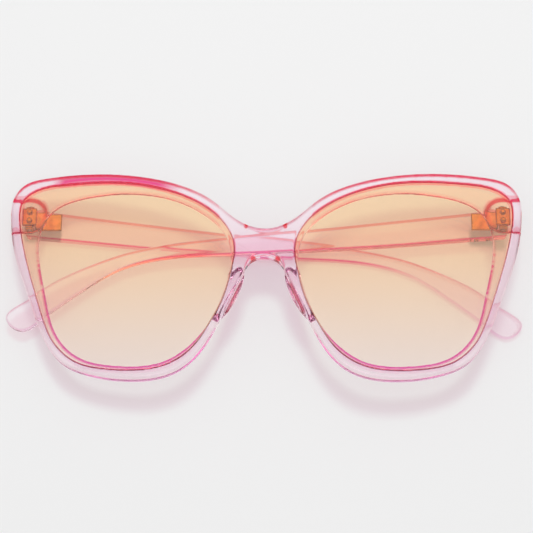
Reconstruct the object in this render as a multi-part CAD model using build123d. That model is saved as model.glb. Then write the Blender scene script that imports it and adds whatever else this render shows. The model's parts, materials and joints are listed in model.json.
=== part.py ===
"""Cat eye sunglasses, folded, lying on the right temple with the lenses up.

Frame: +X is the wearer's left, +Y the top of the front, +Z the way the lenses face.
z = 0 is the surface that the right temple lies on. Millimetres.
The front and what is fixed to it are drawn level, then leaned a little, because the
left temple lies on the right one and lifts its own side.
"""

import math
import os

from build123d import *

# Front: one moulding with rims, bridge, end pieces and nose pads.
FRONT_WIDTH = 145.0
FRONT_TOP_Z = 18.1  # crown of the front face, at the bridge
FACE_FORM_RADIUS = 500.0  # the front wraps round a cylinder along Y
RIM_DEPTH = 3.3
FRONT_EDGE_ROUND = 0.9
REAR_EDGE_ROUND = 0.7

# Lenses: flush in a front rabbet, with a smaller window behind.
LENS_THICKNESS = 1.8
SEAT_DEPTH = 1.9
LENS_CENTRE = (39.2, -0.3)
LENS_SHRINK = 0.998  # of the rabbet's outline, so that the lens drops in
LENS_EDGE_ROUND = 0.25

# Hinges: five barrels on one screw, drawn at the wearer's left.
PIVOT_X = 67.2
PIVOT_Y = 19.25
PIVOT_DROP = 1.2  # from the pivot to the temple's inner face
BARREL_RADIUS = 1.15
BARREL_COUNT = 5
BARREL_HEIGHT = 1.2
BARREL_GAP = 0.06
SCREW_RADIUS = 0.6
SCREW_RUNNING_GAP = 0.04
SCREW_HEAD_RADIUS = 0.95
SCREW_HEAD_HEIGHT = 0.6
SLOT_WIDTH = 0.3
SLOT_DEPTH = 0.25
FRONT_LEAF_WIDTH = 4.0
FRONT_LEAF_HEIGHT = 5.0
TEMPLE_LEAF_LENGTH = 7.0
TEMPLE_LEAF_HEIGHT = 4.9
LEAF_THICKNESS = 0.8
LEAF_SEAT = 0.3  # how far the temple leaf sinks into the temple
LEAF_NEAR_REACH = 1.4  # from the pivot to the temple leaf's plate
BARREL_SWEEP_GAP = 0.15  # from the barrels to the temple
STAKE_RADIUS = 0.65
STAKE_LENGTH = 1.6
METAL_GAP = 0.02

# End pieces: D-shaped blocks behind the rim's upper corners.
END_PIECE_HEIGHT = 9.8
END_PIECE_GAP = 0.1  # to the temple's butt when open
END_PIECE_ROUND = 0.7

# Temples: drawn as the wearer's right one lies folded, outer face on z = 0.
TEMPLE_BUTT_X = -68.9
TEMPLE_TIP_X = 73.0
TEMPLE_BUTT_THICKNESS = 3.6
TEMPLE_TIP_THICKNESS = 2.4
TEMPLE_ROUND = 0.8
STACK_RISE = 3.5  # how far above the right temple the left one lies

# Nose pads: ellipsoids moulded on the rims' nasal sides.
PAD_LENGTH = 17.0
PAD_WIDTH = 5.0
PAD_DEPTH = 4.6
PAD_CENTRE = (9.9, -5.7)
PAD_LEAN = 64.5  # of its length, from X
PAD_FACING = 12.0  # of its face, towards the nose

FRONT_OUTLINE = [
    (0, 13.1), (4.7, 14.05), (9.6, 17.1), (14.8, 21.6), (21.4, 25.4), (31.7, 28.6),
    (42, 30.2), (52.3, 30.6), (62.7, 29.95), (69.3, 28.0), (72.0, 24.2), (72.5, 19.4),
    (71.2, 9.4), (65.9, -6.0), (59.6, -20.4), (55.4, -25.3), (48.6, -28.6),
    (35.0, -30.6), (27.3, -29.7), (20.8, -26.4), (15.9, -20.6), (9.3, -7.2), (5.75, 0.3),
    (3.3, 3.6), (0, 4.35),
]
LENS_OUTLINE = [
    (59.8, -16.5), (56.0, -22.0), (51.1, -25.6), (43.9, -27.5), (34.8, -28.05), (27.0, -26.8),
    (19.9, -22.3), (15.0, -15.2), (11.3, -7.7), (9.1, 0.3), (8.4, 8.45), (11.6, 15.15),
    (16.5, 19.65), (26.2, 24.5), (36.1, 27.05), (45.9, 27.9), (57.5, 27.65), (65.3, 26.3),
    (69.1, 23.4), (69.9, 18.4), (68.7, 10.6), (63.6, -6.35),
]
WINDOW_OUTLINE = [
    (43.5, 24.5), (55.8, 22.4), (60.8, 19.4), (63.2, 15.1), (63.4, 4.75), (61.1, -5.55),
    (58.0, -15.75), (53.9, -21.3), (49.1, -24.4), (41.8, -26.1), (34.75, -26.5),
    (27.7, -25.4), (20.7, -21.1), (13.8, -11.8), (10.1, -0.8), (9.4, 5.35), (11.1, 11.5),
    (16.5, 17.3), (26.4, 22.4), (33.7, 24.05),
]
TEMPLE_OUTLINE = [
    (TEMPLE_BUTT_X, 15.0), (-57, 14.05), (-38, 12.3), (-10.4, 10.35), (10.4, 9.2),
    (24, 8.5), (33.9, 6.9), (43.4, 3.4), (50.6, -1.35), (59.9, -8.3), (64.4, -12.0),
    (67.9, -13.8), (71.6, -12.4), (TEMPLE_TIP_X, -9.4), (71.3, -7.2), (67.3, -4.6),
    (61.5, -0.45), (50, 5.6), (39.7, 9.5), (33.4, 11.1), (12, 14.4), (-12.8, 17.05),
    (-40, 20.2), (TEMPLE_BUTT_X, 23.6),
]

TALL = 60.0  # longer than any part is deep
BARREL_PITCH = BARREL_HEIGHT + BARREL_GAP
STACK_HEIGHT = BARREL_COUNT * BARREL_PITCH - BARREL_GAP
FRONT_LEAN = math.degrees(math.asin(STACK_RISE / 2 / PIVOT_X))
FOLDED_PIVOT_X = PIVOT_X * math.cos(math.radians(FRONT_LEAN))
PIVOT_HEIGHT = TEMPLE_BUTT_THICKNESS + PIVOT_DROP  # above the temple's outer face
PIVOT_Z = PIVOT_HEIGHT + STACK_RISE / 2  # of both pivots, before the front leans
END_PIECE_REAR_Z = PIVOT_Z - TEMPLE_BUTT_X - FOLDED_PIVOT_X + END_PIECE_GAP


def rim_rear_z(x):
    """Height of the rim's rear face at x."""
    return FRONT_TOP_Z - FACE_FORM_RADIUS + math.sqrt((FACE_FORM_RADIUS - RIM_DEPTH) ** 2 - x * x)


def face_cylinder(depth):
    """Cylinder along Y that lies depth below the front's outer face."""
    cylinder = Cylinder(FACE_FORM_RADIUS - depth, TALL + 20, rotation=(90, 0, 0))
    return Pos(0, 0, FRONT_TOP_Z - FACE_FORM_RADIUS) * cylinder


def prism(curve, low=-TALL, high=TALL):
    """Solid of a closed curve in XY, between two heights."""
    return Pos(0, 0, low) * extrude(make_face(curve), high - low)


def closed_outline(points):
    return Spline(*points, periodic=True)


def front_outline():
    """Closed outline of the front, the listed half and its mirror image."""
    other_half = [(-x, y) for x, y in reversed(FRONT_OUTLINE[1:-1])]
    return closed_outline(FRONT_OUTLINE + other_half)


def both_sides(shape):
    """The shape and its mirror image across the bridge."""
    return [shape, mirror(shape, about=Plane.YZ)]


def end_piece(outline_prism):
    """Block behind the left rim's upper corner that carries the hinge."""
    half = END_PIECE_HEIGHT / 2
    top_z = rim_rear_z(PIVOT_X) + RIM_DEPTH / 2
    section = Pos(PIVOT_X, PIVOT_Y) * Circle(half)
    section += Pos(PIVOT_X + half, PIVOT_Y) * Rectangle(2 * half, 2 * half)
    block = Pos(0, 0, END_PIECE_REAR_Z) * extrude(section, top_z - END_PIECE_REAR_Z)
    block = fillet(block.edges().group_by(Axis.Z)[0], END_PIECE_ROUND)
    return block & outline_prism


def nose_pad():
    """Pad on the left rim's nasal side, standing back from it."""
    x, y = PAD_CENTRE
    rear = rim_rear_z(x)
    pad = scale(Sphere(1), by=(PAD_LENGTH / 2, PAD_WIDTH / 2, PAD_DEPTH))
    pad = Pos(x, y, rear) * Rot(0, 0, -PAD_LEAN) * Rot(PAD_FACING, 0, 0) * pad
    return pad & (Pos(x, y, rear - TALL / 2 + RIM_DEPTH / 3) * Box(TALL, TALL, TALL))


def left_rim(outline_prism):
    """Left rim and half of the bridge, wrapped round the face and rounded."""
    blank = outline_prism & (face_cylinder(0) - face_cylinder(RIM_DEPTH))
    blank = blank & (Pos(TALL, 0, 0) * Box(2 * TALL, 2 * TALL, 2 * TALL))
    blank = fillet(long_edges(blank)[-1], FRONT_EDGE_ROUND)
    return fillet(long_edges(blank)[0], REAR_EDGE_ROUND)


def long_edges(shape):
    """Edges that run all round the rim, rearmost first."""
    edges = shape.edges().filter_by(lambda edge: edge.length > FRONT_WIDTH)
    return edges.sort_by(lambda edge: edge.center().Z)


def frame_front():
    """Rims, bridge, end pieces and pads in one moulding, cut for what it carries."""
    outline_prism = prism(front_outline())
    half = left_rim(outline_prism) + end_piece(outline_prism) + nose_pad()
    half -= prism(closed_outline(LENS_OUTLINE)) - face_cylinder(SEAT_DEPTH)
    half -= prism(closed_outline(WINDOW_OUTLINE))
    half -= front_leaf_plate(METAL_GAP)
    return half + mirror(half, about=Plane.YZ)


def lens():
    """Left lens, a slice of the same wrap as the front."""
    x, y = LENS_CENTRE
    outline = [(x + LENS_SHRINK * (px - x), y + LENS_SHRINK * (py - y)) for px, py in LENS_OUTLINE]
    blank = prism(closed_outline(outline)) & (face_cylinder(0) - face_cylinder(LENS_THICKNESS))
    return chamfer(long_edges(blank)[-1], LENS_EDGE_ROUND)


def barrel_y(index):
    """Middle of a hinge barrel, counted from the lowest."""
    return PIVOT_Y + (index - (BARREL_COUNT - 1) / 2) * BARREL_PITCH


def rod(radius, length, y):
    """Cylinder along the left pivot, centred on y."""
    return Pos(PIVOT_X, y, PIVOT_Z) * Cylinder(radius, length, rotation=(90, 0, 0))


def box_between(low, high):
    size = [high[i] - low[i] for i in range(3)]
    middle = [(high[i] + low[i]) / 2 for i in range(3)]
    return Pos(*middle) * Box(*size)


def front_leaf_plate(gap=0.0):
    """Plate and stakes of the left front leaf, sunk in the end piece."""
    half_width = FRONT_LEAF_WIDTH / 2 + gap
    half_height = FRONT_LEAF_HEIGHT / 2 + gap
    top_z = END_PIECE_REAR_Z + LEAF_THICKNESS
    plate = box_between(
        (PIVOT_X - half_width, PIVOT_Y - half_height, END_PIECE_REAR_Z),
        (PIVOT_X + half_width, PIVOT_Y + half_height, top_z + gap),
    )
    for step in (-1, 1):
        stake_y = PIVOT_Y + step * FRONT_LEAF_HEIGHT / 4
        stake = Cylinder(STAKE_RADIUS + gap, STAKE_LENGTH + 2 * gap)
        plate += Pos(PIVOT_X, stake_y, top_z + STAKE_LENGTH / 2) * stake
    return plate


def front_leaf():
    """Left front leaf: the plate with every other barrel hanging from it."""
    leaf = front_leaf_plate()
    for index in range(0, BARREL_COUNT, 2):
        y = barrel_y(index)
        web = box_between(
            (PIVOT_X - BARREL_RADIUS, y - BARREL_HEIGHT / 2, PIVOT_Z),
            (PIVOT_X + BARREL_RADIUS, y + BARREL_HEIGHT / 2, END_PIECE_REAR_Z),
        )
        leaf += web
        leaf += rod(BARREL_RADIUS, BARREL_HEIGHT, y)
    return leaf - rod(SCREW_RADIUS + METAL_GAP, TALL, PIVOT_Y)


def screw():
    """Left hinge screw, slotted head up."""
    head_y = PIVOT_Y + STACK_HEIGHT / 2 + METAL_GAP
    shank = rod(SCREW_RADIUS, STACK_HEIGHT + METAL_GAP, PIVOT_Y + METAL_GAP / 2)
    head = rod(SCREW_HEAD_RADIUS, SCREW_HEAD_HEIGHT, head_y + SCREW_HEAD_HEIGHT / 2)
    head = chamfer(head.edges().group_by(Axis.Y)[-1], SCREW_HEAD_HEIGHT / 4)
    slot = Pos(PIVOT_X, head_y + SCREW_HEAD_HEIGHT, PIVOT_Z) * Box(
        2 * SCREW_HEAD_RADIUS, 2 * SLOT_DEPTH, SLOT_WIDTH
    )
    return shank + head - slot


def folded_rod(radius, length, y):
    """Cylinder along the folded right temple's pivot, centred on y."""
    return Pos(-FOLDED_PIVOT_X, y, PIVOT_HEIGHT) * Cylinder(radius, length, rotation=(90, 0, 0))


def temple_leaf_plate(gap=0.0):
    """Plate and stakes of the temple leaf, half sunk in the temple's inner face."""
    low_z = TEMPLE_BUTT_THICKNESS - LEAF_SEAT - gap
    near_x = LEAF_NEAR_REACH - FOLDED_PIVOT_X
    half_height = TEMPLE_LEAF_HEIGHT / 2 + gap
    plate = box_between(
        (near_x - gap, PIVOT_Y - half_height, low_z),
        (near_x + TEMPLE_LEAF_LENGTH + gap, PIVOT_Y + half_height, low_z + LEAF_THICKNESS + gap),
    )
    for share in (1 / 4, 3 / 4):
        stake = Cylinder(STAKE_RADIUS + gap, STAKE_LENGTH)
        plate += Pos(near_x + share * TEMPLE_LEAF_LENGTH, PIVOT_Y, low_z - STAKE_LENGTH / 2) * stake
    return plate


def temple_leaf():
    """Right temple leaf, with the barrels that fall between the front leaf's."""
    leaf = temple_leaf_plate()
    top_z = TEMPLE_BUTT_THICKNESS - LEAF_SEAT + LEAF_THICKNESS
    for index in range(1, BARREL_COUNT, 2):
        y = barrel_y(index)
        leaf += folded_rod(BARREL_RADIUS, BARREL_HEIGHT, y)
        leaf += box_between(
            (-FOLDED_PIVOT_X, y - BARREL_HEIGHT / 2, PIVOT_HEIGHT - BARREL_RADIUS),
            (LEAF_NEAR_REACH - FOLDED_PIVOT_X, y + BARREL_HEIGHT / 2, top_z),
        )
    return leaf - folded_rod(SCREW_RADIUS + SCREW_RUNNING_GAP, TALL, PIVOT_Y)


def temple():
    """Right temple, flat on its outer face and thinner towards the tip."""
    outline = Curve() + [
        Spline(*TEMPLE_OUTLINE),
        Line(TEMPLE_OUTLINE[-1], TEMPLE_OUTLINE[0]),
    ]
    side = Polyline(
        (TEMPLE_BUTT_X, 0, 0),
        (TEMPLE_TIP_X, 0, 0),
        (TEMPLE_TIP_X, 0, TEMPLE_TIP_THICKNESS),
        (TEMPLE_BUTT_X, 0, TEMPLE_BUTT_THICKNESS),
        close=True,
    )
    wedge = Pos(0, TALL, 0) * extrude(make_face(side), 2 * TALL, dir=(0, -1, 0))
    arm = prism(outline) & wedge
    arm = fillet(arm.edges(), TEMPLE_ROUND)
    arm -= temple_leaf_plate(METAL_GAP)
    sweep = 2 * BARREL_SWEEP_GAP
    return arm - folded_rod(BARREL_RADIUS + BARREL_SWEEP_GAP, STACK_HEIGHT + sweep, PIVOT_Y)


def lean(shape):
    """Tips the level front about the bridge, its left side up."""
    return shape.rotate(Axis((0, 0, PIVOT_Z), (0, 1, 0)), -FRONT_LEAN)


def write(shape, node):
    export_step(shape, f"parts/{node}.step")


def main():
    os.makedirs("parts", exist_ok=True)
    write(lean(frame_front()), "frame_front")
    for name, part in (("lens", lens()), ("hinge_front_leaf", front_leaf()), ("hinge_screw", screw())):
        left, right = both_sides(part)
        write(lean(left), f"{name}_left")
        write(lean(right), f"{name}_right")
    for name, part in (("temple", temple()), ("hinge_temple_leaf", temple_leaf())):
        write(part, f"{name}_right")
        write(Pos(0, 0, STACK_RISE) * mirror(part, about=Plane.YZ), f"{name}_left")


main()
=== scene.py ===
"""Cat eye sunglasses: finishes, stage and camera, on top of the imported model."""

import json
import math

import bmesh
import bpy
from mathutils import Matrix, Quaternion, Vector, kdtree


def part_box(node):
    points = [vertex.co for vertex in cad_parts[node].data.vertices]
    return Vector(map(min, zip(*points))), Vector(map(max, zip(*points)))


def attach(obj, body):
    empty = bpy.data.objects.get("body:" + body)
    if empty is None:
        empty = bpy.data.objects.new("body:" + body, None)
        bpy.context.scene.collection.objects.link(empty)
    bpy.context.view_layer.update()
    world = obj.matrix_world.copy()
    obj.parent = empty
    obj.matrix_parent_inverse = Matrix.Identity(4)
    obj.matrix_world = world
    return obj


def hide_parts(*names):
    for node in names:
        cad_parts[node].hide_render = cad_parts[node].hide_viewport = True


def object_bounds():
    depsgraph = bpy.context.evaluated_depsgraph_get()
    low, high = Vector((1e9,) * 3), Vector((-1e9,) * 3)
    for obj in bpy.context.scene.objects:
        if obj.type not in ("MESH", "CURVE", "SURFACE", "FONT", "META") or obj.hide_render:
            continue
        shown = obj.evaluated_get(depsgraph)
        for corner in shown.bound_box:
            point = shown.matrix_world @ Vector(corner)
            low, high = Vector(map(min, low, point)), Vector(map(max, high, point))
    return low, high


bl_info = {
    "name": "Cat Eye Sunglasses",
    "version": (1, 0, 0),
    "blender": (4, 5, 0),
    "location": "View3D > Sidebar > Sunglasses",
    "description": "Finishes the pieces of a pair of cat eye sunglasses and sets the stage",
    "category": "Object",
}

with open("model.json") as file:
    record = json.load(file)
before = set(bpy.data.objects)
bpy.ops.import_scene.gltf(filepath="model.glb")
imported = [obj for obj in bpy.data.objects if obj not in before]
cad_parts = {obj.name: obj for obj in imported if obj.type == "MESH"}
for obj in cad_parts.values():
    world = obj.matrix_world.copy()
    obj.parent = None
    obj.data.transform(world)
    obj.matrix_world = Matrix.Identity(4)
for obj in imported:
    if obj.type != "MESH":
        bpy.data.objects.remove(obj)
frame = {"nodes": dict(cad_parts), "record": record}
CAD_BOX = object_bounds()
BODIES = {
    node: body
    for body, nodes in frame["record"]["behaviour"]["bodies"].items()
    for node in nodes
}
SIDES = ("left", "right")

# Sizes are in metres. A fade is the pair of values between which something sets in.

# The front and the temples are cast again in even faces, then softened.
CAST_GRAIN = 0.0003
SOFTEN_PASSES = 3
CREASE = math.radians(32.0)  # edges folded more than this stay sharp on the other pieces
WELD = 1e-6

# The front face is a cylinder along Y: its crown's height, radius and lean.
FACE_CROWN = 0.0181
FACE_RADIUS = 0.5
FACE_LEAN = 0.026
# Walls this far behind the face belong to the windows, and deeper ones to the end pieces.
WINDOW_DEPTH = 0.002
END_PIECE_DEPTH = 0.0036

# Nose pads: how far out they reach and their span in Y, fades out of them sideways, up and
# down, and the share of the painted edge glow that shows on them.
PAD_REACH = 0.0155
PAD_SPAN = (-0.0175, 0.0035)
PAD_SIDE_FADE = (0.0135, 0.0175)
PAD_TOP_FADE = (0.002, 0.004)
PAD_FOOT_FADE = (-0.0155, -0.0185)
PAD_GLOW_SHARE = 0.12
# A dark red line along each nose pad: X and Y of its upper and lower end, and half its width.
PAD_LINE = ((0.0062, -0.0015), (0.0112, -0.0125), 0.0006)

# The bridge's upper edge: its reach in X and lowest Y, fades out of it sideways and down, and
# the share of the painted edge glow that shows on it.
BRIDGE_REACH = 0.013
BRIDGE_LOW = 0.01
BRIDGE_SIDE_FADE = (0.007, 0.016)
BRIDGE_UNDER_FADE = (0.012, 0.010)
BRIDGE_GLOW_SHARE = 0.3
# Round red spots along the bridge's edges: X, Y and radius.
BRIDGE_POOLS = ((0.0034, 0.0038, 0.0011), (0.0055, 0.0141, 0.0008))

# Where the rim's brow meets the lens: its highest point, and how fast it falls away.
BROW_CREST = (0.049, 0.02795)
BROW_BEND = 6.6
# The right brow's painted glow, thrown in by refraction on this side only because of how the light
# falls: fades at its two ends in X, above the lens, and into its upper colour.
BROW_GLOW_START_FADE = (-0.062, -0.057)
BROW_GLOW_STOP_FADE = (-0.0225, -0.031)
BROW_GLOW_LENS_FADE = (0.0001, 0.0006)
BROW_GLOW_HIGH_FADE = (0.0009, 0.0016)

# Painted edge glow, for light carried inside the plastic and thrown back at its walls, on the
# flat faces beside each kind of side wall: its share where the wall faces up Y, its share
# elsewhere, and how far it reaches.
EDGE_GLOW_SHARES = {
    "outer": (0.7, 0.0, 0.0006),
    "end piece": (0.6, 0.6, 0.0011),
    "window": (1.0, 0.4, 0.001),
    "rabbet": (0.3, 0.9, 0.00035),
    "bridge": (0.15, 0.15, 0.0006),
    "clear": (0.0, 0.0, 0.0006),
}
EDGE_SHARPNESS = 1.6  # above 1, the painted glow is full beside the wall before it fades
WALL_TILT = 0.5  # a point whose normal's Z is less than this lies on a side wall
FACES_UP = 0.15  # a wall whose normal's Y is more than this faces up Y

# Fades by the normal: from a flat face to a side wall, from an upright wall to a slanted one, and
# from a wall that faces down Y to one that faces up.
WALL_FADE = (0.975, 0.72)
SLANT_FADE = (0.05, 0.35)
FACING = 0.6
# Low on the pair, less of the painted glow shows from within: a fade in Y and the share below it.
LOW_FADE = (-0.018, 0.0)
LOW_GLOW_SHARE = 0.12
CLEAR = (1.0, 0.985, 0.995)  # surface colour of the plastic away from its painted edge glow

# The wall tints are partly the plastic's own deeper colour, partly painted edge glow.
WALL_TINT_FADE = (-0.012, 0.02)  # from the lower wall tint to the upper one, in Y
TEMPLE_BEND_FADE = (0.003, 0.009)  # from the temple's bend to its straight part, in Y
# Shares of the temples' painted edge glow: on the bend, and on upright walls.
TEMPLE_BEND_GLOW_SHARE = 0.35
TEMPLE_FLANK_GLOW_SHARE = 0.75
LENS_EDGE_FADE = (0.0, 0.024)  # from the lens's painted edge colour to its upper one, in Y
LENS_TOP_SHARE = 0.55  # share of the lens's height at which its top tint is reached

# Hinge metal: size of its patches, their contrast, and painted shade, a dark band along its edges.
PATCH_SCALE = 700.0
PATCH_FADE = (0.3, 0.62)
PATCH_SHADE = 0.75
EDGE_SHADE_WIDTH = 0.00055
EDGE_SHADE_FADE = (0.998, 0.93)
EDGE_SHADE_COLOUR = (0.05, 0.012, 0.002)

# Lamps: place and size.
WIDE_LAMP = ((0.0, -0.35, 0.95), (1.7, 1.1))
KEY_LAMP = ((0.02, 0.3, 1.0), (0.2, 0.18))
STRIP_LAMP = ((0.0, -0.9, 0.32), (0.9, 0.25))
SHEEN_LAMP = ((0.0, 0.38, 0.9), (1.7, 1.1))
AIM = (0.0003, 0.003)  # X and Y that the camera and the lamps are turned to
AIM_DROP = 0.0045  # how far that point lies below the top of the pair
FLOOR_SIZE = 3.0
BOUNCES = 24


# ---------------------------------------------------------------- settings


def tint(name, description, default):
    """A colour setting."""
    return bpy.props.FloatVectorProperty(
        name=name,
        description=description,
        subtype="COLOR",
        size=3,
        min=0.0,
        max=1.0,
        default=default,
    )


def power(name, description, default):
    """A setting for a lamp's power."""
    return bpy.props.FloatProperty(
        name=name, description=description, subtype="POWER", min=0.0, default=default
    )


class PlasticSettings(bpy.types.PropertyGroup):
    colour: tint(
        "Frame tint",
        "Colour that the front and the temples give to light passing through",
        (0.995, 0.7, 0.87),
    )
    # The wall tints are partly the plastic's own deeper colour along its edges and partly painted
    # edge glow, for light carried inside the plastic.
    wall_top: tint(
        "Upper wall tint",
        "Colour of the side walls near the brow, seen from within",
        (0.95, 0.03, 0.12),
    )
    wall_bottom: tint(
        "Lower wall tint",
        "Colour of the side walls further down, seen from within",
        (0.86, 0.01, 0.48),
    )
    # Painted light on the right brow: colour that refraction throws in from the tinted side walls.
    brow_glow_high: tint(
        "Brow streak, upper",
        "Colour of the streak along the right brow, by its outer edge",
        (0.9, 0.16, 0.32),
    )
    brow_glow_low: tint(
        "Brow streak, lower",
        "Colour of the streak along the right brow, by the lens",
        (0.97, 0.03, 0.3),
    )
    shade: tint(
        "Shadow tint",
        "Colour that each wall of the front gives to lamp light on its way to the floor",
        (0.87, 0.785, 0.82),
    )
    temple_shade: tint(
        "Temple shadow tint",
        "The same for the temples, which are lighter",
        (0.96, 0.865, 0.89),
    )
    # Painted edge glow: the colour that the temples' side walls pass straight on, met from within.
    temple_glow: tint(
        "Temple upper edge",
        "Colour of the temples' dyed walls, met from within",
        (0.98, 0.5, 0.5),
    )
    pool: tint(
        "Pool tint",
        "Colour of the small pools of dye along the bridge",
        (0.9, 0.02, 0.03),
    )
    pad: tint(
        "Pad line tint",
        "Colour of the dark line along each nose pad",
        (0.55, 0.07, 0.12),
    )
    density: bpy.props.FloatProperty(
        name="Tint density",
        description="How fast the front's tint builds up with thickness, per metre",
        default=90.0,
        min=0.0,
    )
    temple_density: bpy.props.FloatProperty(
        name="Temple tint density",
        description="The same for the temples",
        default=36.0,
        min=0.0,
    )
    roughness: bpy.props.FloatProperty(
        name="Polish",
        description="Roughness of the polished plastic",
        default=0.035,
        min=0.0,
        max=1.0,
        subtype="FACTOR",
    )


class LensSettings(bpy.types.PropertyGroup):
    top: tint(
        "Top tint",
        "Colour of the lens along its upper edge",
        (1.0, 0.74, 0.46),
    )
    bottom: tint(
        "Bottom tint",
        "Colour of the lens along its lower edge",
        (0.96, 0.915, 0.87),
    )
    # Painted edge colours of the lens; along the brow, the rim's colour thrown in by refraction.
    wall: tint(
        "Edge tint",
        "Colour of the lens's edge, seen from within",
        (0.45, 0.13, 0.1),
    )
    wall_top: tint(
        "Upper edge tint",
        "The same along the brow, where the rim's dye shows through",
        (0.72, 0.05, 0.16),
    )
    shade: tint(
        "Shadow tint",
        "Colour that each face of a lens gives to lamp light on its way to the floor",
        (0.99, 0.955, 0.925),
    )
    shade_low: tint(
        "Lower shadow tint",
        "The same along the lens's lower edge",
        (0.945, 0.905, 0.91),
    )


class HingeSettings(bpy.types.PropertyGroup):
    metal: tint(
        "Hinge metal",
        "Colour of the leaves on the temples",
        (0.84, 0.42, 0.1),
    )
    block: tint(
        "Hinge block metal",
        "Colour of the leaves set in the front, which lie deeper in shade",
        (0.72, 0.27, 0.02),
    )
    screw: tint(
        "Screw metal",
        "Colour of the hinge screws",
        (0.6, 0.58, 0.55),
    )


class StageSettings(bpy.types.PropertyGroup):
    floor: tint("Floor", "Colour of the floor", (0.86, 0.86, 0.86))
    key: power("Key light", "Power of the light overhead that casts the shadows", 4.9)
    wide: power("Wide light", "Power of the large soft light overhead", 2.5)
    strip: power("Strip light", "Power of the low strip that only shows through clear pieces", 3.0)
    sheen: power("Sheen light", "Power of the large light that only shows as gloss", 5.5)
    sky: bpy.props.FloatProperty(
        name="Surroundings",
        description="Brightness of the white surroundings",
        default=0.45,
        min=0.0,
    )
    distance: bpy.props.FloatProperty(
        name="Camera distance",
        description="From the camera to the middle of the pair",
        default=0.4338,
        min=0.1,
        subtype="DISTANCE",
        unit="LENGTH",
    )
    elevation: bpy.props.FloatProperty(
        name="Camera elevation",
        description="Height of the camera above the horizon",
        default=math.radians(70.0),
        subtype="ANGLE",
        unit="ROTATION",
    )
    roll: bpy.props.FloatProperty(
        name="Camera roll",
        description="Turn of the camera about its own line of sight",
        default=math.radians(0.5),
        subtype="ANGLE",
        unit="ROTATION",
    )
    focal_length: bpy.props.FloatProperty(
        name="Focal length",
        description="Focal length of the camera, in millimetres",
        default=104.9,
        min=10.0,
        subtype="DISTANCE_CAMERA",
        unit="CAMERA",
    )


# ---------------------------------------------------------------- node helpers


def math_node(tree, operation, first, second=0.0):
    """One sum on values or sockets; returns its output."""
    node = tree.nodes.new("ShaderNodeMath")
    node.operation = operation
    for socket, value in zip(node.inputs, (first, second)):
        if isinstance(value, (int, float)):
            socket.default_value = value
        else:
            tree.links.new(value, socket)
    return node.outputs[0]


def combine(tree, operation, first, *others):
    """The same sum carried on over several values or sockets; returns the last output."""
    for other in others:
        first = math_node(tree, operation, first, other)
    return first


def map_range(tree, value, low, high, start=0.0, end=1.0):
    """The value between low and high, mapped smoothly to start and end."""
    node = tree.nodes.new("ShaderNodeMapRange")
    node.interpolation_type = "SMOOTHSTEP"
    node.inputs["From Min"].default_value = low
    node.inputs["From Max"].default_value = high
    node.inputs["To Min"].default_value = start
    node.inputs["To Max"].default_value = end
    tree.links.new(value, node.inputs["Value"])
    return node.outputs["Result"]


def mix_colour(tree, amount, first, second):
    """Goes from the first colour to the second; returns the mix."""
    node = tree.nodes.new("ShaderNodeMix")
    node.data_type = "RGBA"
    colours = [socket for socket in node.inputs if socket.type == "RGBA"]
    for socket, value in zip(colours, (first, second)):
        if isinstance(value, (tuple, list)):
            socket.default_value = (*value, 1.0)
        else:
            tree.links.new(value, socket)
    tree.links.new(amount, node.inputs["Factor"])
    return next(socket for socket in node.outputs if socket.type == "RGBA")


def object_place(tree, source="Object"):
    """X, Y and Z of the place on the piece, or of its normal."""
    place = tree.nodes.new("ShaderNodeTexCoord")
    split = tree.nodes.new("ShaderNodeSeparateXYZ")
    tree.links.new(place.outputs[source], split.inputs[0])
    return split.outputs


def new_group(name, inputs, outputs):
    """An empty shader group with its sockets and its two end nodes."""
    group = bpy.data.node_groups.new(name, "ShaderNodeTree")
    for label, kind, value in inputs:
        socket = group.interface.new_socket(label, in_out="INPUT", socket_type=kind)
        socket.default_value = value
    for label, kind in outputs:
        group.interface.new_socket(label, in_out="OUTPUT", socket_type=kind)
    return group, group.nodes.new("NodeGroupInput"), group.nodes.new("NodeGroupOutput")


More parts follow.
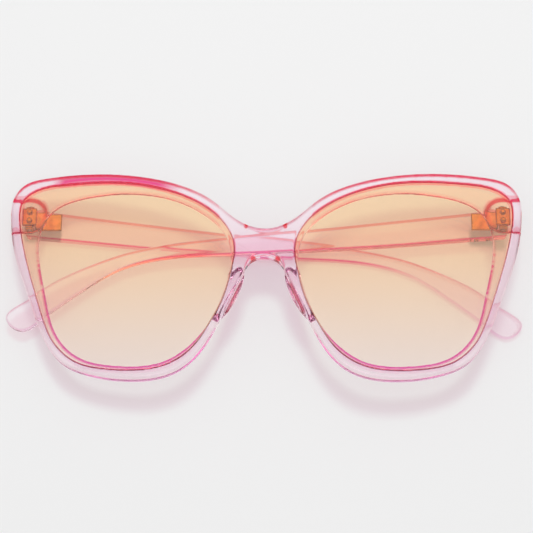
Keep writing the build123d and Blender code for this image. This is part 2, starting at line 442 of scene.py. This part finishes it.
def handling_marks():
    """Faint smears and a few hairline scratches of a handled, polished surface."""
    if "Handling Marks" in bpy.data.node_groups:
        return bpy.data.node_groups["Handling Marks"]
    group, given, result = new_group(
        "Handling Marks",
        [
            ("Roughness", "NodeSocketFloat", 0.03),
            ("Smear", "NodeSocketFloat", 0.04),
            ("Smear Scale", "NodeSocketFloat", 60.0),
            ("Scratch Scale", "NodeSocketFloat", 900.0),
        ],
        [("Roughness", "NodeSocketFloat"), ("Height", "NodeSocketFloat")],
    )
    nodes, links = group.nodes, group.links
    place = nodes.new("ShaderNodeTexCoord")
    smear = nodes.new("ShaderNodeTexNoise")
    smear.inputs["Detail"].default_value = 5.0
    links.new(place.outputs["Object"], smear.inputs["Vector"])
    links.new(given.outputs["Smear Scale"], smear.inputs["Scale"])
    strength = nodes.new("ShaderNodeMath")
    strength.operation = "MULTIPLY_ADD"
    links.new(smear.outputs["Fac"], strength.inputs[0])
    links.new(given.outputs["Smear"], strength.inputs[1])
    links.new(given.outputs["Roughness"], strength.inputs[2])
    links.new(strength.outputs[0], result.inputs["Roughness"])
    # Noise drawn out along Y; its few highest ridges are the scratches.
    stretch = nodes.new("ShaderNodeMapping")
    stretch.inputs["Scale"].default_value = (1.0, 0.06, 1.0)
    stretch.inputs["Rotation"].default_value = (0.0, 0.0, math.radians(24.0))
    links.new(place.outputs["Object"], stretch.inputs["Vector"])
    scratch = nodes.new("ShaderNodeTexNoise")
    scratch.inputs["Detail"].default_value = 2.0
    links.new(stretch.outputs["Vector"], scratch.inputs["Vector"])
    links.new(given.outputs["Scratch Scale"], scratch.inputs["Scale"])
    ridge = nodes.new("ShaderNodeMapRange")
    ridge.inputs["From Min"].default_value = 0.66
    ridge.inputs["From Max"].default_value = 0.72
    ridge.inputs["To Min"].default_value = 1.0
    ridge.inputs["To Max"].default_value = 0.0
    links.new(scratch.outputs["Fac"], ridge.inputs["Value"])
    links.new(ridge.outputs["Result"], result.inputs["Height"])
    return group


# ---------------------------------------------------------------- materials


def see_through(name, lamp_tint):
    """A clear material whose shader passes lamp rays straight on, so that its shadow is tinted."""
    material = bpy.data.materials.new(name)
    material.use_nodes = True
    nodes, links = material.node_tree.nodes, material.node_tree.links
    nodes.clear()
    shader = nodes.new("ShaderNodeBsdfPrincipled")
    shader.inputs["Transmission Weight"].default_value = 1.0
    pass_on = nodes.new("ShaderNodeBsdfTransparent")
    pass_on.inputs["Color"].default_value = (*lamp_tint, 1.0)
    path = nodes.new("ShaderNodeLightPath")
    output = nodes.new("ShaderNodeOutputMaterial")
    seen = shader.outputs[0]
    for ray in ("Is Diffuse Ray", "Is Shadow Ray"):
        either = nodes.new("ShaderNodeMixShader")
        links.new(path.outputs[ray], either.inputs["Fac"])
        links.new(seen, either.inputs[1])
        links.new(pass_on.outputs[0], either.inputs[2])
        seen = either.outputs[0]
    links.new(seen, output.inputs["Surface"])
    return material


def add_marks(material, roughness, smear, smear_scale=60.0, scratch_scale=900.0, scratch=0.03):
    """Gives a material's shader its roughness with smears, and its scratches."""
    nodes, links = material.node_tree.nodes, material.node_tree.links
    shader = nodes["Principled BSDF"]
    marks = nodes.new("ShaderNodeGroup")
    marks.node_tree = handling_marks()
    marks.inputs["Roughness"].default_value = roughness
    marks.inputs["Smear"].default_value = smear
    marks.inputs["Smear Scale"].default_value = smear_scale
    marks.inputs["Scratch Scale"].default_value = scratch_scale
    links.new(marks.outputs["Roughness"], shader.inputs["Roughness"])
    bump = nodes.new("ShaderNodeBump")
    bump.inputs["Strength"].default_value = scratch
    bump.inputs["Distance"].default_value = 0.00002
    links.new(marks.outputs["Height"], bump.inputs["Height"])
    links.new(bump.outputs["Normal"], shader.inputs["Normal"])


def paint_wall_glow(material, clear, dye, inside, outside, flank=1.0, where=None, glow=None):
    """Colours light that meets a side wall, where the tint lies deepest; returns the colour.

    The colour is partly the plastic's own deeper tint, partly painted edge glow for light carried
    inside the plastic. The flat faces, which lie square to Z, stay clear, and upright walls take
    the share flank. inside and outside are the shares that show on walls facing up Y and down Y,
    met from within and from outside. A wall met from within shows its dye, or its glow, straight:
    painted glow.
    """
    tree = material.node_tree
    nodes, links = tree.nodes, tree.links
    shader = nodes["Principled BSDF"]
    normal = object_place(tree, "Normal")
    flat = math_node(tree, "ABSOLUTE", normal["Z"])
    wall = map_range(tree, flat, *WALL_FADE)
    wall = math_node(tree, "MULTIPLY", wall, map_range(tree, flat, *SLANT_FADE, flank, 1.0))
    if where is not None:
        wall = math_node(tree, "MULTIPLY", wall, where)
    # The normal is turned round where a wall is met from within.
    met_within = map_range(tree, normal["Y"], -FACING, FACING, *inside)
    low = map_range(tree, object_place(tree)["Y"], *LOW_FADE, LOW_GLOW_SHARE, 1.0)
    met_outside = map_range(tree, normal["Y"], FACING, -FACING, *outside)
    side = nodes.new("ShaderNodeNewGeometry")
    within = combine(tree, "MULTIPLY", wall, met_within, low, side.outputs["Backfacing"])
    straight = nodes.new("ShaderNodeBsdfTransparent")
    if glow is None:
        links.new(dye, straight.inputs["Color"])
    else:
        straight.inputs["Color"].default_value = (*glow, 1.0)
    both = nodes.new("ShaderNodeMixShader")
    links.new(within, both.inputs["Fac"])
    links.new(shader.outputs[0], both.inputs[1])
    links.new(straight.outputs[0], both.inputs[2])
    for link in list(shader.outputs[0].links):
        if link.to_node != both:
            links.new(both.outputs[0], link.to_socket)
    return mix_colour(tree, math_node(tree, "MULTIPLY", wall, met_outside), clear, dye)


def painted_brow_glow(tree, colour, low_tint, high_tint):
    """Painted light: deep magenta across the right rim's brow, paler towards its outer edge, for
    glow thrown in by refraction.
    """
    place = object_place(tree)
    out = math_node(tree, "ADD", math_node(tree, "ABSOLUTE", place["X"]), -BROW_CREST[0])
    sag = combine(tree, "MULTIPLY", out, out, BROW_BEND)
    above = combine(tree, "ADD", place["Y"], sag, -BROW_CREST[1])
    amount = combine(
        tree,
        "MULTIPLY",
        map_range(tree, place["X"], *BROW_GLOW_START_FADE),
        map_range(tree, place["X"], *BROW_GLOW_STOP_FADE),
        map_range(tree, above, *BROW_GLOW_LENS_FADE),
    )
    streak = mix_colour(tree, map_range(tree, above, *BROW_GLOW_HIGH_FADE), low_tint, high_tint)
    return mix_colour(tree, amount, colour, streak)


def pools(tree, colour, dye, centres):
    """Round red spots, the same on both halves, at X, Y and radius."""
    place = object_place(tree)
    outward = math_node(tree, "ABSOLUTE", place["X"])
    for centre_x, centre_y, radius in centres:
        across = math_node(tree, "POWER", math_node(tree, "ADD", outward, -centre_x), 2.0)
        along = math_node(tree, "POWER", math_node(tree, "ADD", place["Y"], -centre_y), 2.0)
        away = math_node(tree, "SQRT", math_node(tree, "ADD", across, along))
        colour = mix_colour(tree, map_range(tree, away, radius, 0.5 * radius), colour, dye)
    return colour


def pad_line(tree, colour, dye, start, stop, half_width):
    """A dark red line in each nose pad, the same on both halves, that fades at its ends."""
    place = object_place(tree)
    across = (Vector(stop) - Vector(start)).orthogonal().normalized()
    outward = math_node(tree, "ABSOLUTE", place["X"])
    offset = combine(
        tree,
        "ADD",
        math_node(tree, "MULTIPLY", outward, across.x),
        math_node(tree, "MULTIPLY", place["Y"], across.y),
        -across.dot(Vector(start)),
    )
    offset = math_node(tree, "ABSOLUTE", offset)
    amount = combine(
        tree,
        "MULTIPLY",
        map_range(tree, offset, half_width, 0.4 * half_width),
        map_range(tree, place["Y"], start[1], start[1] - 3 * half_width),
        map_range(tree, place["Y"], stop[1], stop[1] + 3 * half_width),
    )
    return mix_colour(tree, amount, colour, dye)


def pink_plastic(name, settings, lamp_tint, density):
    """Clear pink acetate, deeper in colour where light travels far in it; returns its walls'
    colour, partly painted glow.
    """
    material = see_through(name, lamp_tint)
    tree = material.node_tree
    tree.nodes["Principled BSDF"].inputs["IOR"].default_value = 1.49
    add_marks(material, settings.roughness, 0.03)
    height = map_range(tree, object_place(tree)["Y"], *WALL_TINT_FADE)
    # dye holds the side walls' colour: partly the plastic's own deeper tint, partly painted edge
    # glow.
    dye = mix_colour(tree, height, tuple(settings.wall_bottom), tuple(settings.wall_top))
    depth = tree.nodes.new("ShaderNodeVolumeAbsorption")
    depth.inputs["Color"].default_value = (*settings.colour, 1.0)
    depth.inputs["Density"].default_value = density
    tree.links.new(depth.outputs[0], tree.nodes["Material Output"].inputs["Volume"])
    return material, dye


def front_wall_share(tree):
    """Share of the painted edge glow over the front: less on the nose pads and the bridge's upper
    edge.
    """
    place = object_place(tree)
    outward = math_node(tree, "ABSOLUTE", place["X"])
    off_pads = combine(
        tree,
        "MAXIMUM",
        map_range(tree, outward, *PAD_SIDE_FADE),
        map_range(tree, place["Y"], *PAD_TOP_FADE),
        map_range(tree, place["Y"], *PAD_FOOT_FADE),
        PAD_GLOW_SHARE,
    )
    off_bridge = math_node(
        tree,
        "MAXIMUM",
        map_range(tree, outward, *BRIDGE_SIDE_FADE, BRIDGE_GLOW_SHARE, 1.0),
        map_range(tree, place["Y"], *BRIDGE_UNDER_FADE),
    )
    return math_node(tree, "MULTIPLY", off_pads, off_bridge)


def front_plastic(settings):
    """The front's plastic: painted edge glow along its edges, painted glow on the right brow, red
    spots and pad lines.
    """
    material, dye = pink_plastic("frame_plastic", settings, settings.shade, settings.density)
    tree = material.node_tree
    share = front_wall_share(tree)
    colour = paint_wall_glow(material, CLEAR, dye, (0.9, 0.2), (0.2, 0.0), where=share)
    # Painted edge glow along the walls, as stored by mark_edges.
    edge = tree.nodes.new("ShaderNodeAttribute")
    edge.attribute_name = "edge_glow"
    colour = mix_colour(tree, edge.outputs["Fac"], colour, dye)
    # Painted light across the right brow.
    colour = painted_brow_glow(tree, colour, tuple(settings.brow_glow_low), tuple(settings.brow_glow_high))
    colour = pools(tree, colour, tuple(settings.pool), BRIDGE_POOLS)
    colour = pad_line(tree, colour, tuple(settings.pad), *PAD_LINE)
    tree.links.new(colour, tree.nodes["Principled BSDF"].inputs["Base Color"])
    return material


def temple_plastic(settings):
    """The temples' plastic: painted edge glow along the lower edge, fading into the bend."""
    material, dye = pink_plastic(
        "temple_plastic", settings, settings.temple_shade, settings.temple_density
    )
    tree = material.node_tree
    straight_part = map_range(
        tree, object_place(tree)["Y"], *TEMPLE_BEND_FADE, TEMPLE_BEND_GLOW_SHARE, 1.0
    )
    colour = paint_wall_glow(
        material,
        CLEAR,
        dye,
        inside=(1.0, 0.2),
        outside=(0.1, 1.0),
        flank=TEMPLE_FLANK_GLOW_SHARE,
        where=straight_part,
        glow=tuple(settings.temple_glow),
    )
    tree.links.new(colour, tree.nodes["Principled BSDF"].inputs["Base Color"])
    return material


def lens_plastic(settings):
    """Peach at the brow, fading to nearly clear below."""
    material = see_through("lens_plastic", settings.shade)
    tree = material.node_tree
    shader, pass_on = tree.nodes["Principled BSDF"], tree.nodes["Transparent BSDF"]
    low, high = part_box("lens_left")
    place = object_place(tree)
    height = tree.nodes.new("ShaderNodeMapRange")
    height.inputs["From Min"].default_value = low.y
    height.inputs["From Max"].default_value = high.y
    tree.links.new(place["Y"], height.inputs["Value"])
    fade = tree.nodes.new("ShaderNodeValToRGB")
    fade.color_ramp.interpolation = "B_SPLINE"
    fade.color_ramp.elements[0].position = 0.0
    fade.color_ramp.elements[0].color = (*settings.bottom, 1.0)
    fade.color_ramp.elements[1].position = LENS_TOP_SHARE
    fade.color_ramp.elements[1].color = (*settings.top, 1.0)
    tree.links.new(height.outputs["Result"], fade.inputs["Fac"])
    shader.inputs["IOR"].default_value = 1.5
    add_marks(material, 0.015, 0.015)
    # The lens's edge colours are painted; along the brow they stand in for the rim's colour thrown
    # in by refraction.
    brow = map_range(tree, place["Y"], *LENS_EDGE_FADE)
    wall = mix_colour(tree, brow, tuple(settings.wall), tuple(settings.wall_top))
    colour = paint_wall_glow(material, fade.outputs["Color"], wall, (1.0, 1.0), (1.0, 1.0))
    shade = mix_colour(
        tree, height.outputs["Result"], tuple(settings.shade_low), tuple(settings.shade)
    )
    tree.links.new(shade, pass_on.inputs["Color"])
    tree.links.new(colour, shader.inputs["Base Color"])
    return material


def plain_metal(name, colour, roughness, smear):
    """Satin metal with darker patches, and painted shade: a dark band along its edges, where the
    side walls stay unlit.
    """
    material = bpy.data.materials.new(name)
    material.use_nodes = True
    tree = material.node_tree
    nodes, links = tree.nodes, tree.links
    shader = nodes["Principled BSDF"]
    shader.inputs["Metallic"].default_value = 1.0
    place = nodes.new("ShaderNodeTexCoord")
    patches = nodes.new("ShaderNodeTexNoise")
    patches.inputs["Scale"].default_value = PATCH_SCALE
    patches.inputs["Detail"].default_value = 4.0
    links.new(place.outputs["Object"], patches.inputs["Vector"])
    shade = nodes.new("ShaderNodeValToRGB")
    ends = shade.color_ramp.elements
    ends[0].position, ends[1].position = PATCH_FADE
    ends[0].color = (*[PATCH_SHADE * c for c in colour], 1.0)
    ends[1].color = (*colour, 1.0)
    links.new(patches.outputs["Fac"], shade.inputs["Fac"])
    # Painted shade: where the rounded normal differs from the face's own, an edge is near and is
    # darkened.
    rounded = nodes.new("ShaderNodeBevel")
    rounded.inputs["Radius"].default_value = EDGE_SHADE_WIDTH
    geometry = nodes.new("ShaderNodeNewGeometry")
    agree = nodes.new("ShaderNodeVectorMath")
    agree.operation = "DOT_PRODUCT"
    links.new(rounded.outputs["Normal"], agree.inputs[0])
    links.new(geometry.outputs["True Normal"], agree.inputs[1])
    edge = map_range(tree, agree.outputs["Value"], *EDGE_SHADE_FADE)
    edge_shaded = mix_colour(tree, edge, shade.outputs["Color"], EDGE_SHADE_COLOUR)
    links.new(edge_shaded, shader.inputs["Base Color"])
    add_marks(material, roughness, smear, smear_scale=1200.0, scratch_scale=6000.0, scratch=0.2)
    return material


# ---------------------------------------------------------------- pieces


def apply_modifiers(piece):
    """Turns what the modifiers make into the piece's own mesh."""
    bpy.context.view_layer.update()
    made = piece.evaluated_get(bpy.context.evaluated_depsgraph_get())
    rough = piece.data
    piece.data = bpy.data.meshes.new_from_object(made)
    piece.data.name = piece.name
    piece.modifiers.clear()
    bpy.data.meshes.remove(rough)


def smooth_piece(node, material, grain=0.0):
    """The moulded surface of a node, joined and shaded smooth up to its creases.

    With a grain, the whole surface is cast again in even faces of that size, so that the
    corners where its features meet are softly filled, as in a moulding.
    """
    shell = bmesh.new()
    shell.from_mesh(frame["nodes"][node].data)
    bmesh.ops.remove_doubles(shell, verts=shell.verts, dist=WELD)
    for face in shell.faces:
        face.smooth = True
    for edge in shell.edges:
        creased = len(edge.link_faces) != 2 or edge.calc_face_angle() > CREASE
        edge.smooth = bool(grain) or not creased
    mesh = bpy.data.meshes.new(f"{node}_finish")
    shell.to_mesh(mesh)
    shell.free()
    mesh.materials.append(material)
    piece = bpy.data.objects.new(f"{node}_finish", mesh)
    bpy.context.scene.collection.objects.link(piece)
    if grain:
        cast = piece.modifiers.new("cast", "REMESH")
        cast.mode = "VOXEL"
        cast.voxel_size = grain
        cast.use_smooth_shade = True
        soften = piece.modifiers.new("soften", "SMOOTH")
        soften.factor = 0.5
        soften.iterations = SOFTEN_PASSES
        apply_modifiers(piece)
    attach(piece, BODIES[node])
    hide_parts(node)
    return piece


def wall_kind(place, normal, middle, leaf):
    """Names the side wall of the front on which a point lies.

    middle is the middle of the left lens, and leaf the box of the left front leaf.
    """
    outward = abs(place.x)
    if outward < PAD_REACH and PAD_SPAN[0] < place.y < PAD_SPAN[1]:
        return "clear"
    if leaf[0].x < outward < leaf[1].x and leaf[0].y < place.y < leaf[1].y:
        return "clear"
    if outward < BRIDGE_REACH and place.y > BRIDGE_LOW:
        return "bridge"
    centre = Vector((math.copysign(middle.x, place.x), middle.y))
    if normal.to_2d().dot(place.to_2d() - centre) > 0.0:
        return "outer"
    face = FACE_CROWN - place.x**2 / (2 * FACE_RADIUS) + place.x * FACE_LEAN
    if face - place.z > END_PIECE_DEPTH:
        return "end piece"
    return "window" if face - place.z > WINDOW_DEPTH else "rabbet"


def mark_edges(mesh):
    """Stores at each point how strongly the nearest side wall's painted edge glow shows on it."""
    low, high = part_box("lens_left")
    middle = (low + high) / 2
    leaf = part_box("hinge_front_leaf_left")
    walls = [vertex for vertex in mesh.vertices if abs(vertex.normal.z) < WALL_TILT]
    near = kdtree.KDTree(len(walls))
    wall_glows = []
    for number, wall in enumerate(walls):
        near.insert((wall.co.x, wall.co.y, 0.0), number)
        up, elsewhere, reach = EDGE_GLOW_SHARES[wall_kind(wall.co, wall.normal, middle, leaf)]
        wall_glows.append((up if wall.normal.y > FACES_UP else elsewhere, reach))
    near.balance()
    strengths = []
    for vertex in mesh.vertices:
        number, away = near.find((vertex.co.x, vertex.co.y, 0.0))[1:]
        share, reach = wall_glows[number]
        strengths.append(share * min(1.0, max(0.0, EDGE_SHARPNESS * (1.0 - away / reach))))
    mesh.attributes.new("edge_glow", "FLOAT", "POINT").data.foreach_set("value", strengths)


def finish_node(node, material):
    """A node that keeps its own surface gets its material."""
    slots = frame["nodes"][node].data.materials
    slots.clear()
    slots.append(material)


class SUNGLASSES_OT_front(bpy.types.Operator):
    """Mould the front in clear pink plastic"""

    bl_idname = "sunglasses.front"
    bl_label = "Front"

    def execute(self, context):
        material = front_plastic(context.scene.sunglasses_plastic)
        front = smooth_piece("frame_front", material, CAST_GRAIN)
        mark_edges(front.data)
        return {"FINISHED"}


class SUNGLASSES_OT_temples(bpy.types.Operator):
    """Mould both temples in a lighter plastic of the same tint"""

    bl_idname = "sunglasses.temples"
    bl_label = "Temples"

    def execute(self, context):
        material = temple_plastic(context.scene.sunglasses_plastic)
        for side in SIDES:
            smooth_piece(f"temple_{side}", material, CAST_GRAIN)
        return {"FINISHED"}


class SUNGLASSES_OT_lenses(bpy.types.Operator):
    """Tint both lenses"""

    bl_idname = "sunglasses.lenses"
    bl_label = "Lenses"

    def execute(self, context):
        material = lens_plastic(context.scene.sunglasses_lens)
        for side in SIDES:
            smooth_piece(f"lens_{side}", material)
        return {"FINISHED"}


class SUNGLASSES_OT_hinges(bpy.types.Operator):
    """Finish the hinge leaves and their screws"""

    bl_idname = "sunglasses.hinges"
    bl_label = "Hinges"

    def execute(self, context):
        settings = context.scene.sunglasses_hinge
        gold = plain_metal("hinge_metal", settings.metal, 0.28, 0.2)
        dark_gold = plain_metal("hinge_block_metal", settings.block, 0.28, 0.2)
        steel = plain_metal("screw_metal", settings.screw, 0.3, 0.15)
        for side in SIDES:
            finish_node(f"hinge_front_leaf_{side}", dark_gold)
            finish_node(f"hinge_temple_leaf_{side}", gold)
            finish_node(f"hinge_screw_{side}", steel)
        return {"FINISHED"}


# ---------------------------------------------------------------- stage


def lay_floor(height, colour):
    """A sheet of matt paper under the pair."""
    sheet = bmesh.new()
    bmesh.ops.create_grid(sheet, x_segments=1, y_segments=1, size=FLOOR_SIZE)
    bmesh.ops.translate(sheet, verts=sheet.verts, vec=(0, 0, height))
    mesh = bpy.data.meshes.new("floor")
    sheet.to_mesh(mesh)
    sheet.free()
    paper = bpy.data.materials.new("floor_paper")
    paper.use_nodes = True
    shader = paper.node_tree.nodes["Principled BSDF"]
    shader.inputs["Base Color"].default_value = (*colour, 1.0)
    shader.inputs["Roughness"].default_value = 0.9
    shader.inputs["Specular IOR Level"].default_value = 0.1
    mesh.materials.append(paper)
    floor = bpy.data.objects.new("floor", mesh)
    bpy.context.scene.collection.objects.link(floor)


def area_light(name, aim, watts, place, size):
    """A rectangular lamp turned to a point; returns its object."""
    light = bpy.data.lights.new(name, "AREA")
    light.shape = "RECTANGLE"
    light.size, light.size_y = size
    light.energy = watts
    lamp = bpy.data.objects.new(name, light)
    lamp.location = place
    lamp.rotation_euler = (Vector(aim) - Vector(place)).to_track_quat("-Z", "Y").to_euler()
    bpy.context.scene.collection.objects.link(lamp)
    return lamp


def hang_lamps(settings, aim):
    """A wide lamp, one that casts the shadows, one for gloss and one seen through clear pieces."""
    area_light("wide_light", aim, settings.wide, *WIDE_LAMP)
    key = area_light("key_light", aim, settings.key, *KEY_LAMP)
    strip = area_light("strip_light", aim, settings.strip, *STRIP_LAMP)
    sheen = area_light("sheen_light", aim, settings.sheen, *SHEEN_LAMP)
    key.visible_glossy = False
    key.visible_transmission = False
    strip.visible_glossy = False
    strip.visible_diffuse = False
    sheen.visible_diffuse = False


def white_surroundings(brightness):
    """Even white light from all round."""
    world = bpy.data.worlds.new("surroundings")
    world.use_nodes = True
    sky = world.node_tree.nodes["Background"]
    sky.inputs["Color"].default_value = (1.0, 1.0, 1.0, 1.0)
    sky.inputs["Strength"].default_value = brightness
    bpy.context.scene.world = world


def place_camera(settings, aim):
    """The camera above the lower edge, looking down at the pair."""
    camera = bpy.data.cameras.new("camera")
    camera.lens = settings.focal_length
    camera.sensor_width = 36.0
    camera.clip_end = 10.0
    viewer = bpy.data.objects.new("camera", camera)
    back = Vector((0.0, -math.cos(settings.elevation), math.sin(settings.elevation)))
    viewer.location = aim + back * settings.distance
    turn = Quaternion((0.0, 0.0, 1.0), settings.roll)
    viewer.rotation_euler = ((-back).to_track_quat("-Z", "Y") @ turn).to_euler()
    bpy.context.scene.collection.objects.link(viewer)
    bpy.context.scene.camera = viewer


class SUNGLASSES_OT_stage(bpy.types.Operator):
    """Lay the floor, set the lights and place the camera"""

    bl_idname = "sunglasses.stage"
    bl_label = "Stage"

    def execute(self, context):
        settings = context.scene.sunglasses_stage
        low, high = CAD_BOX
        aim = Vector((*AIM, high.z - AIM_DROP))
        lay_floor(low.z, settings.floor)
        hang_lamps(settings, aim)
        white_surroundings(settings.sky)
        place_camera(settings, aim)
        context.scene.view_settings.view_transform = "Standard"
        context.scene.cycles.max_bounces = BOUNCES
        context.scene.cycles.transmission_bounces = BOUNCES
        context.scene.cycles.transparent_max_bounces = BOUNCES
        return {"FINISHED"}


# ---------------------------------------------------------------- panel


class SUNGLASSES_PT_panel(bpy.types.Panel):
    """Lists the pieces' settings and their operators"""

    bl_label = "Cat Eye Sunglasses"
    bl_idname = "SUNGLASSES_PT_panel"
    bl_space_type = "VIEW_3D"
    bl_region_type = "UI"
    bl_category = "Sunglasses"

    def draw(self, context):
        for group in SETTINGS:
            settings = getattr(context.scene, group)
            box = self.layout.box()
            for name in settings.__annotations__:
                box.prop(settings, name)
        for operator in OPERATORS:
            self.layout.operator(operator.bl_idname)


SETTINGS = {
    "sunglasses_plastic": PlasticSettings,
    "sunglasses_lens": LensSettings,
    "sunglasses_hinge": HingeSettings,
    "sunglasses_stage": StageSettings,
}
OPERATORS = (
    SUNGLASSES_OT_front,
    SUNGLASSES_OT_temples,
    SUNGLASSES_OT_lenses,
    SUNGLASSES_OT_hinges,
    SUNGLASSES_OT_stage,
)


def register():
    for cls in (*SETTINGS.values(), *OPERATORS, SUNGLASSES_PT_panel):
        bpy.utils.register_class(cls)
    for name, cls in SETTINGS.items():
        setattr(bpy.types.Scene, name, bpy.props.PointerProperty(type=cls))


def unregister():
    for name in SETTINGS:
        delattr(bpy.types.Scene, name)
    for cls in (SUNGLASSES_PT_panel, *reversed(OPERATORS), *SETTINGS.values()):
        bpy.utils.unregister_class(cls)


def main():
    register()
    bpy.ops.sunglasses.front()
    bpy.ops.sunglasses.temples()
    bpy.ops.sunglasses.lenses()
    bpy.ops.sunglasses.hinges()
    bpy.ops.sunglasses.stage()


if __name__ == "__main__":
    main()
